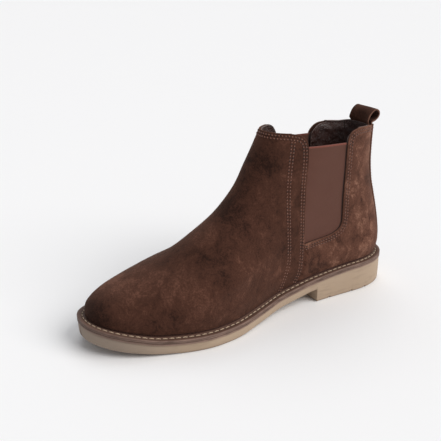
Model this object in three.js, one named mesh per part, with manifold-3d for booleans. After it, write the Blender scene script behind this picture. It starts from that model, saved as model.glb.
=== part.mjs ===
// Left Chelsea boot in suede: one-piece front, two quarters, elastic side gores, a back strip that turns
// into the pull loop, leather lining, stitched welt, midsole and a rubber unit sole with integral heel.
// Millimetres. The toe points along -Y, the heel along +Y, +X is the outer (lateral) side, ground at z = 0.
import * as THREE from "three";
import { mergeVertices } from "three/addons/utils/BufferGeometryUtils.js";
import Module from "manifold-3d";

// Driving sizes, each free of the others.
const lastLength = 292.7; // feather line, heel to toe
const jointWidth = 94; // feather line across the ball of the foot
const collarHeight = 160.3; // ground to the collar at the front
const collarWidth = 56; // across the shaft at the collar
const suede = 1.5; // thickness of the upper
const elasticThick = 1.2;
const liningThick = 1.0;
const stiffenerThick = 0.8; // toe puff and heel counter
const layerGap = 0.3; // between neighbouring layers and across seams
const weltThick = 2.8;
const midsoleThick = 2.0;
const weltShowsHeel = 5.0; // welt beyond the feather line at the heel
const weltShowsToe = 6.0;
const insoleThick = 2.2;
const sockThick = 1.2;
const heelPadThick = 2.5;
const strapWidth = 26; // back strip and pull loop
const strapThick = 1.5;
const loopRise = 13.2; // middle of the pull loop's bend above the collar
const loopFoot = 2.4; // free end of its legs above the collar
const elasticTop = 0.942; // level of the elastic's top edge, of 1 at the collar
const goreAllowance = 8; // elastic hidden under the seams
const heelPiece = 24; // the heel lining's seams, forward of the back of the boot
const heelLength = 88; // heel seat, back to breast
const breastHeight = 12;

// Nominal sizes the tables below are drawn at.
const drawn = { length: 292.7, joint: 94, collar: 160.3, foot: 24 };
const lengthScale = lastLength / drawn.length;
const widthScale = jointWidth / drawn.joint;
const heightScale = (collarHeight - drawn.foot) / (drawn.collar - drawn.foot);

const along = (u) => u * lengthScale;
const rise = (z) => (z > drawn.foot ? drawn.foot + (z - drawn.foot) * heightScale : z);

const smooth = (a, b, x) => {
  const q = Math.min(Math.max((x - a) / (b - a), 0), 1);
  return q * q * (3 - 2 * q);
};

// Monotone cubic through [x, y] pairs, level beyond its ends.
function curve(pairs) {
  const x = pairs.map((p) => p[0]);
  const y = pairs.map((p) => p[1]);
  const n = x.length;
  const h = x.slice(1).map((v, i) => v - x[i]);
  const m = h.map((v, i) => (y[i + 1] - y[i]) / v);
  const slope = y.map((_, i) => {
    if (i === 0) return m[0];
    if (i === n - 1) return m[n - 2];
    if (m[i - 1] * m[i] <= 0) return 0;
    const w1 = 2 * h[i] + h[i - 1];
    const w2 = h[i] + 2 * h[i - 1];
    return (w1 + w2) / (w1 / m[i - 1] + w2 / m[i]);
  });
  return (v) => {
    if (v <= x[0]) return y[0];
    if (v >= x[n - 1]) return y[n - 1];
    let i = 0;
    while (v > x[i + 1]) i++;
    const t = (v - x[i]) / h[i];
    const a = (1 + 2 * t) * (1 - t) ** 2 * y[i] + t * (1 - t) ** 2 * h[i] * slope[i];
    return a + t * t * (3 - 2 * t) * y[i + 1] + t * t * (t - 1) * h[i] * slope[i + 1];
  };
}

// The skin of the upper is a stack of closed loops from the feather line up to the collar.
// Each row: how far forward and how high the loop is at the front, the same at the back,
// and how long its rounded nose and heel are.
const loops = [
  [294.2, 24.6, 1.5, 28, 67, 43],
  [291.7, 34.2, 0.8, 41, 82, 43],
  [280.7, 43.5, 2.0, 53, 88, 44],
  [258.3, 51.0, 4.1, 65, 112, 45],
  [229.8, 60.7, 6.8, 77, 123, 46.5],
  [203.6, 75.9, 9.9, 89, 105, 47.6],
  [178.9, 91.8, 13.2, 102, 93, 48.7],
  [159.7, 109.4, 15.4, 119, 79, 48.4],
  [146.0, 130.2, 15.7, 137, 70, 46],
  [129.5, 160.3, 15.2, 152.7, 61, 43],
].map(([fu, fz, bu, bz, nose, heel]) => [
  along(fu),
  rise(fz),
  along(bu),
  rise(bz),
  along(nose),
  along(heel),
]);
const nosePower = 2.15;
const heelPower = 2.3;
const bulge = 2.5; // the upper swells out just above the welt
const lean = 2.0; // the heel's topline is this much higher outside and lower inside

const scaled = (pairs, ky) => curve(pairs.map(([u, w]) => [along(u), w * ky]));
const lateralHalf = scaled(
  [[0, 29.5], [45, 28.5], [90, 27.7], [125, 28.3], [155, 34.4], [185, 40.8], [215, 42.5], [245, 41.3],
    [270, 40], [300, 38]],
  widthScale,
);
const medialHalf = scaled(
  [[0, 28], [45, 28], [90, 26], [125, 25.5], [155, 31], [185, 40], [215, 45.5], [245, 41.5], [270, 38.5],
    [300, 36]],
  widthScale,
);
const centre = scaled([[0, 0], [90, 0], [150, 2], [200, 4.7], [250, -3], [301, -6.2]], 1);
const footbed = scaled(
  [[0, 28.7], [45, 27.8], [88, 24.3], [115, 20.6], [140, 17.1], [165, 14.2], [190, 13], [215, 12.9],
    [245, 14.1], [270, 18.9], [302, 26.2]],
  1,
);
const underside = scaled(
  [[0, breastHeight], [heelLength, breastHeight], [110, 9], [140, 5], [170, 1.3], [190, 0], [222, 0],
    [245, 1.2], [270, 4.2], [301, 10]],
  1,
);
const ankleHalf = 29.4;

function loopKeys(t) {
  const p = Math.min(Math.max(t, 0), 1) * (loops.length - 1);
  const i = Math.min(Math.floor(p), loops.length - 2);
  const w = p - i;
  const row = (j) => loops[Math.min(Math.max(j, 0), loops.length - 1)];
  return loops[i].map((_, c) => {
    const [a, b, d, e] = [row(i - 1)[c], row(i)[c], row(i + 1)[c], row(i + 2)[c]];
    const v0 = (d - a) / 2;
    const v1 = (e - b) / 2;
    return (2 * b - 2 * d + v0 + v1) * w ** 3 + (3 * d - 3 * b - 2 * v0 - v1) * w * w + v0 * w + b;
  });
}

const leanAt = (t, u, side) =>
  side * lean * smooth(along(18), along(30), u) * (1 - smooth(along(44), along(60), u)) * smooth(0.75, 1, t);

// Point of the skin in (across, forward, up). t climbs from feather line to collar; p runs round the loop:
// 0 at the front ridge, 1 at the back seam on the lateral side, -1 the same on the medial side.
function skin(t, p) {
  let q = ((((p + 1) % 2) + 2) % 2) - 1;
  if (p === 1) q = 1;
  const side = q >= 0 ? 1 : -1;
  const [fu, fz, bu, bz, nose, heel] = loopKeys(t);
  const a = (1 - Math.cos(Math.PI * Math.abs(q))) / 2;
  const u = fu + (bu - fu) * a;
  const line = loops[0][1] + (loops[0][3] - loops[0][1]) * a;
  const sag = (footbed(u) + 1.9 - line) * (1 - smooth(0, 0.42, t));
  const z = fz + (bz - fz) * a + sag + leanAt(t, u, side);
  const reach = Math.hypot(fu - bu, fz - bz);
  const capNose = (1 - (1 - Math.min((a * reach) / nose, 1)) ** nosePower) ** (1 / nosePower);
  const capHeel = (1 - (1 - Math.min(((1 - a) * reach) / heel, 1)) ** heelPower) ** (1 / heelPower);
  const low = side > 0 ? lateralHalf(u) : medialHalf(u);
  const blend = smooth(45, 105, z);
  const high = ankleHalf + (collarWidth / 2 - ankleHalf) * smooth(95, 158, z);
  const half = low * (1 - blend) + high * blend + bulge * smooth(0, 0.12, t) * (1 - blend);
  return new THREE.Vector3(centre(u) + side * half * capNose * capHeel, u, z);
}

function skinNormal(t, p) {
  const e = 0.004;
  const up = skin(Math.min(t + e, 1), p).sub(skin(Math.max(t - e, 0), p));
  const round = skin(t, p + e).sub(skin(t, p - e));
  return up.cross(round).normalize();
}

// How far round the loop (0 to 1) the skin passes the seam forward(z) at level t.
function seamAt(t, forward, side) {
  let lo = 0;
  let hi = 1;
  for (let i = 0; i < 26; i++) {
    const mid = (lo + hi) / 2;
    const s = skin(t, mid * side);
    if (s.y > forward(s.z - leanAt(t, s.y, side))) lo = mid;
    else hi = mid;
  }
  return (lo + hi) / 2;
}

// How far round the loop the skin is still half a strap away from the back seam.
function stripAt(t, half) {
  let lo = 0.7;
  let hi = 1;
  for (let i = 0; i < 26; i++) {
    const mid = (lo + hi) / 2;
    if (skin(t, mid).x - centre(0) > half) lo = mid;
    else hi = mid;
  }
  return (lo + hi) / 2;
}

// Seams of the upper, forward distance by height.
const seam = (pairs, shift = 0) => curve(pairs.map(([z, u]) => [rise(z), along(u) + shift]));
const panelEdge = [[18, 112], [24, 108.2], [31, 105.5], [42, 103.4], [60, 102.6], [85, 102.6], [110, 101.8],
  [144, 98.8], [149, 99.2], [152, 100.2], [154.5, 102], [156.5, 104.6], [158, 108.2], [158.9, 113]];
const windowFoot = 59.5; // height where the quarter leaves the front panel
const quarterEdge = [[windowFoot, 103], [60.3, 99], [61.2, 88], [62.3, 77], [64.8, 68], [68.5, 62.8],
  [74.5, 60.8], [93, 60.3]];
const quarterCorner = {
  lateral: [[125, 58.6], [144, 57.6], [148, 57], [150.8, 56], [153, 54], [154, 50.6], [154.3, 46]],
  medial: [[125, 60.1], [134, 60], [140, 59.8], [143.5, 59], [146.5, 57], [149, 54.6], [151.4, 51.5],
    [153.3, 47], [154, 42]],
};
const quarterFront = (side) => {
  const low = seam(panelEdge, -layerGap);
  const high = seam([...quarterEdge, ...quarterCorner[side > 0 ? "lateral" : "medial"]]);
  return (z) => (z < rise(windowFoot) ? low(z) : high(z));
};

const boot = new THREE.Group();
const wasm = await Module();
wasm.setup();

// Manifold body of a closed geometry, faces turned outwards.
function solidOf(geometry) {
  const g = geometry.clone();
  g.deleteAttribute("normal");
  g.deleteAttribute("uv");
  const merged = mergeVertices(g, 1e-4);
  const vertProperties = merged.attributes.position.array;
  const triVerts = new Uint32Array(merged.index.array);
  const body = () => new wasm.Manifold(new wasm.Mesh({ numProp: 3, vertProperties, triVerts }));
  if (body().volume() > 0) return body();
  triVerts.reverse();
  return body();
}

const geometryOf = (solid) => {
  const mesh = solid.getMesh();
  const g = new THREE.BufferGeometry();
  g.setAttribute("position", new THREE.BufferAttribute(mesh.vertProperties, 3));
  g.setIndex(new THREE.BufferAttribute(mesh.triVerts, 1));
  return g;
};

// (across, forward, up) to the boot's frame: forward is -Y.
const place = (v) => [v.x, -v.y, v.z];

// Closed body from a grid of columns: every column holds its outer and its inner point.
function shell(grid, closed = false) {
  const rows = grid.length;
  const cols = grid[0].length;
  const position = [];
  const index = [];
  const id = (layer, r, c) => (layer * rows + r) * cols + (closed ? c % cols : c);
  for (const layer of [0, 1]) {
    for (const row of grid) for (const pair of row) position.push(...place(pair[layer]));
  }
  const quad = (a, b, c, d) => index.push(a, b, c, a, c, d);
  const last = closed ? cols : cols - 1;
  for (let r = 0; r < rows - 1; r++) {
    for (let c = 0; c < last; c++) {
      quad(id(0, r, c), id(0, r + 1, c), id(0, r + 1, c + 1), id(0, r, c + 1));
      quad(id(1, r, c), id(1, r, c + 1), id(1, r + 1, c + 1), id(1, r + 1, c));
    }
  }
  for (let c = 0; c < last; c++) {
    quad(id(0, 0, c), id(0, 0, c + 1), id(1, 0, c + 1), id(1, 0, c));
    quad(id(0, rows - 1, c), id(1, rows - 1, c), id(1, rows - 1, c + 1), id(0, rows - 1, c + 1));
  }
  if (!closed) {
    for (let r = 0; r < rows - 1; r++) {
      quad(id(0, r, 0), id(1, r, 0), id(1, r + 1, 0), id(0, r + 1, 0));
      quad(id(0, r, cols - 1), id(0, r + 1, cols - 1), id(1, r + 1, cols - 1), id(1, r, cols - 1));
    }
  }
  const g = new THREE.BufferGeometry();
  g.setAttribute("position", new THREE.Float32BufferAttribute(position, 3));
  g.setIndex(index);
  return g;
}

// A sheet lying in the skin between the levels of rows, from p = from(t) to p = to(t), its outer face
// depth(t) below the skin.
function sheet(rows, cols, from, to, depth, thick) {
  return shell(
    rows.map((t) => {
      const a = from(t);
      const b = to(t);
      return Array.from({ length: cols + 1 }, (_, c) => {
        const p = a + ((b - a) * c) / cols;
        const s = skin(t, p);
        const n = skinNormal(t, p);
        return [s.clone().addScaledVector(n, -depth), s.addScaledVector(n, -depth - thick)];
      });
    }),
  );
}

const levels = (a, b, n) => Array.from({ length: n + 1 }, (_, i) => a + ((b - a) * i) / n);

// The feather line seen from above and its offset: inset > 0 goes inwards.
const roundSteps = 32;
function plan(p, inset) {
  const e = 0.006;
  const s = skin(0, p);
  const d = skin(0, p + e).sub(skin(0, p - e));
  const n = new THREE.Vector3(d.y, -d.x, 0).normalize();
  return s.addScaledVector(n, inset);
}
const weltReach = (u) => weltShowsHeel + (weltShowsToe - weltShowsHeel) * smooth(60, 160, u);
const edgePoint = (p) => plan(p, -weltReach(skin(0, p).y));

// Level plate inside an outline: pairs of lateral and medial points joined straight across.
function plate(point, top, bottom, from = 0, to = 1) {
  const grid = levels(from, to, roundSteps).map((q) => {
    const p = Math.min(Math.max(q, 0.004), 0.996);
    const a = point(p);
    const b = point(-p);
    return [0, 0.5, 1].map((w) => {
      const m = a.clone().lerp(b, w);
      return [m.clone().setZ(top(m.y)), m.clone().setZ(bottom(m.y))];
    });
  });
  return shell(grid);
}

// Ring between two outlines.
function ring(outer, inner, top, bottom) {
  const n = roundSteps * 2;
  const around = Array.from({ length: n }, (_, i) => -1 + (2 * i) / n);
  const rows = [
    [outer, bottom],
    [outer, top],
    [inner, top],
    [inner, bottom],
  ].map(([edge, z]) =>
    around.map((p) => {
      const v = edge(p);
      return v.setZ(z(v.y));
    }),
  );
  const position = rows.flat().flatMap(place);
  const index = [];
  for (let r = 0; r < 4; r++) {
    for (let c = 0; c < n; c++) {
      const a = r * n + c;
      const b = r * n + ((c + 1) % n);
      const d = ((r + 1) % 4) * n + c;
      const e = ((r + 1) % 4) * n + ((c + 1) % n);
      index.push(a, d, e, a, e, b);
    }
  }
  const g = new THREE.BufferGeometry();
  g.setAttribute("position", new THREE.Float32BufferAttribute(position, 3));
  g.setIndex(index);
  return g;
}

function box(x0, x1, u0, u1, z0, z1) {
  const g = new THREE.BoxGeometry(x1 - x0, u1 - u0, z1 - z0);
  return g.translate((x0 + x1) / 2, -(u0 + u1) / 2, (z0 + z1) / 2);
}

function add(name, geometry, colour, roughness = 0.9) {
  const outward = geometryOf(solidOf(geometry));
  outward.computeVertexNormals();
  const material = new THREE.MeshStandardMaterial({ color: colour, roughness, metalness: 0 });
  const mesh = new THREE.Mesh(outward, material);
  mesh.name = name;
  boot.add(mesh);
}

const colours = {
  suede: 0x5a3629,
  elastic: 0x5f3d34,
  lining: 0x35211a,
  board: 0xb79a74,
  cork: 0x9c7448,
  steel: 0x8d9094,
  welt: 0x6b5a54,
  rubber: 0xb49b82,
  thread: 0xe6d8bb,
  foam: 0xd9cfc0,
};

// Depths of the layers below the skin.
const underSuede = suede + layerGap;
const stiffenerDepth = underSuede + 0.25;
const liningDepth = Math.max(underSuede + elasticThick, stiffenerDepth + stiffenerThick) + layerGap;

const panelRows = [...levels(0, 0.1, 2), ...levels(0.16, 0.9, 12), 0.94, 0.97, 0.99, 1];
const quarterRows = [
  ...levels(0, 0.27, 4),
  0.32, 0.332, 0.338, 0.342, 0.346, 0.355, 0.375, 0.41, 0.46,
  ...levels(0.55, 0.85, 3),
  0.9, 0.93, 0.96, 0.98, 0.99, 1,
];

function addUpper() {
  const edge = seam(panelEdge);
  const front = (side) => (t) => side * seamAt(t, edge, side);
  add("front_panel", sheet(panelRows, 36, front(-1), front(1), 0, suede), colours.suede);
  for (const [name, side] of [["lateral", 1], ["medial", -1]]) {
    const edgeHere = quarterFront(side);
    const from = (t) => side * seamAt(t, edgeHere, side);
    const to = () => side * 0.9985;
    add("quarter_" + name, sheet(quarterRows, 17, from, to, 0, suede), colours.suede);
  }
}

function addGores() {
  const frontEdge = seam(panelEdge, goreAllowance);
  const rearEdge = seam([[50, 76], [54, 66], [60, 59], [73, 56], [144, 56]], -goreAllowance + 4);
  for (const [name, side] of [["lateral", 1], ["medial", -1]]) {
    const from = (t) => side * seamAt(t, frontEdge, side);
    const to = (t) => side * seamAt(t, rearEdge, side);
    const body = sheet(levels(0.255, elasticTop, 12), 6, from, to, underSuede, elasticThick);
    add("elastic_gore_" + name, body, colours.elastic);
  }
}

function addLinings() {
  const frontEdge = seam(panelEdge, 1.2);
  const front = (side) => (t) => side * seamAt(t, frontEdge, side);
  const rows = [0.02, ...panelRows.slice(1)];
  add("vamp_lining", sheet(rows, 28, front(-1), front(1), liningDepth, liningThick), colours.lining, 0.6);
  const heelSeam = seam([[0, heelPiece], [200, heelPiece]]);
  for (const [name, side] of [["lateral", 1], ["medial", -1]]) {
    const edgeHere = quarterFront(side);
    const from = (t) => side * seamAt(t, (z) => edgeHere(z + 1) - 1.2, side);
    const to = (t) => side * seamAt(t, heelSeam, side);
    const body = sheet([0.02, ...quarterRows.slice(1)], 5, from, to, liningDepth, liningThick);
    add("quarter_lining_" + name, body, colours.lining, 0.6);
  }
  const behind = seam([[0, heelPiece - 0.5], [200, heelPiece - 0.5]]);
  const from = (t) => seamAt(t, behind, 1);
  const to = (t) => 2 - seamAt(t, behind, -1);
  add("heel_lining", sheet(levels(0.02, 1, 14), 14, from, to, liningDepth, liningThick), colours.lining, 0.6);
}

function addStiffeners() {
  const cap = seam([[0, 252], [200, 252]]);
  const puff = (side) => (t) => side * seamAt(t, cap, side);
  add(
    "toe_puff",
    sheet(levels(0.02, 0.3, 6), 22, puff(-1), puff(1), stiffenerDepth, stiffenerThick),
    colours.board,
  );
  const reach = curve([[0, 84], [0.2, 66], [0.34, 30]]);
  const at = (side) => (t) => seamAt(t, () => along(reach(t)), side);
  const from = (t) => at(1)(t);
  const to = (t) => 2 - at(-1)(t);
  add(
    "heel_counter",
    sheet(levels(0.02, 0.34, 8), 26, from, to, stiffenerDepth, stiffenerThick),
    colours.board,
  );
}

function addStrap() {
  const half = strapWidth / 2;
  const from = (t) => stripAt(t, half);
  const to = (t) => 2 - stripAt(t, half);
  const depth = -strapThick - layerGap;
  add("back_strip", sheet(levels(0, 1, 16), 8, from, to, depth, strapThick), colours.suede);
  const base = skin(1, 1);
  const path = [
    [4.4, 0],
    [4.5, 0.32],
    [3.8, 0.66],
    [1.6, 0.93],
    [-1.4, 1],
    [-4.2, 0.86],
    [-5.2, 0.58],
    [-4, 0.34],
    [-1.8, 0.16],
    [0.4, 0],
  ].map(([u, z]) => new THREE.Vector2(base.y + u, base.z + loopFoot + z * (loopRise - loopFoot)));
  const line = new THREE.SplineCurve(path).getPoints(36);
  const grid = line.map((v, i) => {
    const a = line[Math.max(i - 1, 0)];
    const b = line[Math.min(i + 1, line.length - 1)];
    const n = new THREE.Vector2(b.y - a.y, a.x - b.x).normalize().multiplyScalar(strapThick / 2);
    return [v.clone().add(n), v.clone().sub(n)];
  });
  const rows = [-half, half].map((x) =>
    grid.map((pair) => pair.map((v) => new THREE.Vector3(x, v.x, v.y))),
  );
  add("pull_loop", shell(rows), colours.suede);
}

function addBottom() {
  const top = (extra) => (u) => footbed(u) + extra;
  const inset = (d) => (p) => plan(p, d);
  const under = -weltThick - layerGap;
  const weltInner = 8;
  add("welt", ring(edgePoint, inset(weltInner), top(0), top(-weltThick)), colours.welt);
  const stitch = (d) => (p) => plan(p, d - weltReach(skin(0, p).y));
  add("welt_thread", ring(stitch(3.9), stitch(4.7), top(0.9), top(layerGap / 2)), colours.thread);
  const margin = ring(inset(0.9), inset(15), top(1.5), top(0.2));
  add("lasting_margin", margin, colours.suede);
  add("midsole", plate(edgePoint, top(under), top(under - midsoleThick)), colours.welt);
  const boardTop = 1.9 + insoleThick;
  add("insole_board", plate(inset(5.2), top(boardTop), top(1.9)), colours.board);
  const filler = solidOf(plate(inset(15.4), top(1.6), top(-weltThick)));
  const slot = solidOf(box(-7.4, 7.4, along(62), along(165), 5, 40));
  const cutPart = slot.intersect(
    solidOf(plate(inset(2), top(8), top(-0.1))),
  );
  add("cork_filler", geometryOf(filler.subtract(cutPart)), colours.cork);
  const shankLine = (p) => new THREE.Vector3(p > 0 ? 7 : -7, along(162 - 96 * Math.abs(p)), 0);
  add("steel_shank", plate(shankLine, top(1.5), top(0.2)), colours.steel, 0.4);
  const padTop = boardTop + 0.3 + heelPadThick;
  const padEnd = seamAt(0, () => along(92), 1);
  add("heel_pad", plate(inset(8), top(padTop), top(boardTop + 0.3), padEnd, 1), colours.foam);
  const sockLift = (u) => boardTop + 0.3 + (heelPadThick + 0.3) * (1 - smooth(along(93), along(118), u));
  const sockTop = (u) => footbed(u) + sockLift(u) + sockThick;
  const sockBottom = (u) => footbed(u) + sockLift(u);
  add("sock_liner", plate(inset(7), sockTop, sockBottom), colours.lining, 0.6);
}

// Rubber unit: sole plate, heel block with lightening cells open upwards, tread grooves.
function addOutsole() {
  const outsoleTop = (u) => footbed(u) - weltThick - midsoleThick - 2 * layerGap;
  const rim = (p) => plan(p, 0.6 - weltReach(skin(0, p).y));
  let body = solidOf(plate(rim, outsoleTop, underside));
  const heelEnd = along(heelLength);
  const block = solidOf(plate(rim, () => breastHeight + 3, () => 0)).intersect(
    solidOf(box(-80, 80, -40, heelEnd, -1, 40)),
  );
  body = body.add(block);
  const cellFloor = 6;
  for (const x of [-16.5, -5, 6.5]) {
    for (const u of [12, 36, 60]) {
      const wall = solidOf(box(x, x + 9, along(u), along(u) + 20, cellFloor, 60));
      body = body.subtract(wall);
    }
  }
  const grooveDeep = 1;
  for (const u of [196, 206, 216]) {
    body = body.subtract(solidOf(box(-36, 40, along(u), along(u) + 2, -5, grooveDeep)));
  }
  for (const u of [30, 46, 72]) {
    for (const [a, b] of [[-60, -24], [24, 60]]) {
      body = body.subtract(solidOf(box(a, b, along(u), along(u) + 2.4, -5, 1.6)));
    }
  }
  add("outsole_unit", geometryOf(body), colours.rubber, 0.75);
}

addUpper();
addGores();
addLinings();
addStiffeners();
addStrap();
addBottom();
addOutsole();

// Origin: middle of the overall box, on the ground.
const bounds = new THREE.Box3().setFromObject(boot);
const middle = bounds.getCenter(new THREE.Vector3());
boot.position.set(-middle.x, -middle.y, -bounds.min.z);
boot.updateMatrixWorld(true);

export default boot;
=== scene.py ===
import math

import bpy
import numpy as np
from mathutils import Matrix, Vector, noise


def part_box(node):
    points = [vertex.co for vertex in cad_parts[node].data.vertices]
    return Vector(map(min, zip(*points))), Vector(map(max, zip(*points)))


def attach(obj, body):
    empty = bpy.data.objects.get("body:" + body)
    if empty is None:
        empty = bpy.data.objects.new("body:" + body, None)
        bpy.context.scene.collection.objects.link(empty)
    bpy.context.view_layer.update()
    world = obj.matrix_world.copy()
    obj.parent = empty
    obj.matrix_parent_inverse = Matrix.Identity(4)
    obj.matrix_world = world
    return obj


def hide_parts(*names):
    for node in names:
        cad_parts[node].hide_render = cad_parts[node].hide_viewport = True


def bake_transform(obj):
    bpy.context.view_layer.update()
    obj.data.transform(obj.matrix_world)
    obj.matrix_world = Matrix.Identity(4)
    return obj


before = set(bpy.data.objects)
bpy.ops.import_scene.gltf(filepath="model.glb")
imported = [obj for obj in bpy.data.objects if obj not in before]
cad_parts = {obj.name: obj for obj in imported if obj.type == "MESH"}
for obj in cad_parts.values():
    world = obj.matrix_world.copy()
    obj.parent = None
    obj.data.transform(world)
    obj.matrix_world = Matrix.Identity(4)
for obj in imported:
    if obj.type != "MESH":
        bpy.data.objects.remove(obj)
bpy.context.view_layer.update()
print("frame loaded")

# pattern of the upper, in millimetres:
# x across (+ outer side), u forward from the heel, z up

last = {
    # how far forward and how high each loop is at the front, the same at the back, nose and heel length
    "loops": [
        (294.2, 24.6, 1.5, 28, 67, 43),
        (291.7, 34.2, 0.8, 41, 82, 43),
        (280.7, 43.5, 2.0, 53, 88, 44),
        (258.3, 51.0, 4.1, 65, 112, 45),
        (229.8, 60.7, 6.8, 77, 123, 46.5),
        (203.6, 75.9, 9.9, 89, 105, 47.6),
        (178.9, 91.8, 13.2, 102, 93, 48.7),
        (159.7, 109.4, 15.4, 119, 79, 48.4),
        (146.0, 130.2, 15.7, 137, 70, 46),
        (129.5, 160.3, 15.2, 152.7, 61, 43),
    ],
    "nosePower": 2.15,
    "heelPower": 2.3,
    "bulge": 2.5,
    "ankleHalf": 29.4,
    "collarHalf": 28,
    "lean": 2.0,  # the heel's topline is this much higher outside and lower inside
    "outerHalf": [(0, 29.5), (45, 28.5), (90, 27.7), (125, 28.3), (155, 34.4), (185, 40.8), (215, 42.5),
                  (245, 41.3), (270, 40), (300, 38)],
    "innerHalf": [(0, 28), (45, 28), (90, 26), (125, 25.5), (155, 31), (185, 40), (215, 45.5), (245, 41.5),
                  (270, 38.5), (300, 36)],
    "centre": [(0, 0), (90, 0), (150, 2), (200, 4.7), (250, -3), (301, -6.2)],
    "footbed": [(0, 28.7), (45, 27.8), (88, 24.3), (115, 20.6), (140, 17.1), (165, 14.2), (190, 13),
                (215, 12.9), (245, 14.1), (270, 18.9), (302, 26.2)],
}


def monotone(points):
    # smooth curve through the points without overshoot, level beyond its ends
    x, y = np.array(points, float).T
    h = np.diff(x)
    m = np.diff(y) / h
    slope = np.zeros(len(x))
    slope[0], slope[-1] = m[0], m[-1]
    for i in range(1, len(x) - 1):
        if m[i - 1] * m[i] > 0:
            w1, w2 = 2 * h[i] + h[i - 1], h[i] + 2 * h[i - 1]
            slope[i] = (w1 + w2) / (w1 / m[i - 1] + w2 / m[i])

    def value(v):
        v = np.clip(np.asarray(v, float), x[0], x[-1])
        i = np.clip(np.searchsorted(x, v, side="right") - 1, 0, len(h) - 1)
        t = (v - x[i]) / h[i]
        low = (1 + 2 * t) * (1 - t) ** 2 * y[i] + t * (1 - t) ** 2 * h[i] * slope[i]
        return low + t * t * (3 - 2 * t) * y[i + 1] + t * t * (t - 1) * h[i] * slope[i + 1]

    return value


def smooth(a, b, x):
    q = np.clip((np.asarray(x, float) - a) / (b - a), 0, 1)
    return q * q * (3 - 2 * q)


outerHalf = monotone(last["outerHalf"])
innerHalf = monotone(last["innerHalf"])
centre = monotone(last["centre"])
footbed = monotone(last["footbed"])
loopTable = np.array(last["loops"], float)


def between(a, b, c, d, w):
    # smooth curve from b to c, with a and d as the neighbours
    v0, v1 = (c - a) / 2, (d - b) / 2
    return (2 * b - 2 * c + v0 + v1) * w ** 3 + (3 * c - 3 * b - 2 * v0 - v1) * w ** 2 + v0 * w + b


def loopAt(t):
    p = np.clip(t, 0, 1) * (len(loopTable) - 1)
    i = np.minimum(np.floor(p).astype(int), len(loopTable) - 2)
    w = (p - i)[..., None]
    before = loopTable[np.maximum(i - 1, 0)]
    after = loopTable[np.minimum(i + 2, len(loopTable) - 1)]
    return between(before, loopTable[i], loopTable[i + 1], after, w)


def leanAt(t, u, side):
    return side * last["lean"] * smooth(18, 30, u) * (1 - smooth(44, 60, u)) * smooth(0.75, 1, t)


def skin(t, p):
    # t climbs from the feather line to the collar
    # p runs round: 0 front ridge, 1 back seam, negative on the inner side
    t, p = np.broadcast_arrays(np.asarray(t, float), np.asarray(p, float))
    q = np.where(p == 1, 1.0, (p + 1) % 2 - 1)
    side = np.where(q >= 0, 1.0, -1.0)
    k = loopAt(t)
    fu, fz, bu, bz, nose, heel = (k[..., i] for i in range(6))
    a = (1 - np.cos(np.pi * np.abs(q))) / 2
    u = fu + (bu - fu) * a
    line = loopTable[0, 1] + (loopTable[0, 3] - loopTable[0, 1]) * a
    z = fz + (bz - fz) * a + (footbed(u) + 1.9 - line) * (1 - smooth(0, 0.42, t)) + leanAt(t, u, side)
    reach = np.hypot(fu - bu, fz - bz)
    capNose = 1 - (1 - np.minimum(a * reach / nose, 1)) ** last["nosePower"]
    capHeel = 1 - (1 - np.minimum((1 - a) * reach / heel, 1)) ** last["heelPower"]
    cap = np.maximum(capNose, 0) ** (1 / last["nosePower"])
    cap = cap * np.maximum(capHeel, 0) ** (1 / last["heelPower"])
    low = np.where(side > 0, outerHalf(u), innerHalf(u))
    blend = smooth(45, 105, z)
    high = last["ankleHalf"] + (last["collarHalf"] - last["ankleHalf"]) * smooth(95, 158, z)
    half = low * (1 - blend) + high * blend + last["bulge"] * smooth(0, 0.12, t) * (1 - blend)
    return np.stack([centre(u) + side * half * cap, u, z], -1)


def skinNormal(t, p):
    e = 0.004
    up = skin(np.minimum(t + e, 1), p) - skin(np.maximum(t - e, 0), p)
    around = skin(t, p + e) - skin(t, p - e)
    n = np.cross(up, around)
    return n / np.linalg.norm(n, axis=-1, keepdims=True)


def seamAt(t, forward, side):
    # how far round the loop (0 to 1) the skin passes the seam forward(z)
    t = np.asarray(t, float)
    lo, hi = np.zeros_like(t), np.ones_like(t)
    for _ in range(26):
        mid = (lo + hi) / 2
        s = skin(t, mid * side)
        ahead = s[..., 1] > forward(s[..., 2] - leanAt(t, s[..., 1], side))
        lo, hi = np.where(ahead, mid, lo), np.where(ahead, hi, mid)
    return (lo + hi) / 2


def stripAt(t, half, side=1):
    t = np.asarray(t, float)
    lo, hi = np.full_like(t, 0.7), np.ones_like(t)
    for _ in range(26):
        mid = (lo + hi) / 2
        wide = side * skin(t, mid * side)[..., 0] > half
        lo, hi = np.where(wide, mid, lo), np.where(wide, hi, mid)
    return (lo + hi) / 2


def settle(target, t, p, rounds=6):
    # the place (t, p) on the skin nearest to each target point
    e = 1e-3
    t, p = np.array(t, float), np.array(p, float)
    for _ in range(rounds):
        s = skin(t, p)
        dt = (skin(np.minimum(t + e, 1), p) - skin(np.maximum(t - e, 0), p)) / (
            np.minimum(t + e, 1) - np.maximum(t - e, 0))[:, None]
        dp = (skin(t, p + e) - skin(t, p - e)) / (2 * e)
        r = target - s
        a, b, c = (dt * dt).sum(1), (dt * dp).sum(1), (dp * dp).sum(1)
        f, g = (dt * r).sum(1), (dp * r).sum(1)
        det = a * c - b * b + 1e-9
        t = np.clip(t + (c * f - b * g) / det, 0, 1)
        p = p + (a * g - b * f) / det
    return t, p


# the pattern is laid on the frame: the welt's box gives where its middle is
weltShows = {"heel": 5.0, "toe": 6.0}


def weltReach(u):
    return weltShows["heel"] + (weltShows["toe"] - weltShows["heel"]) * smooth(60, 160, u)


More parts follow.
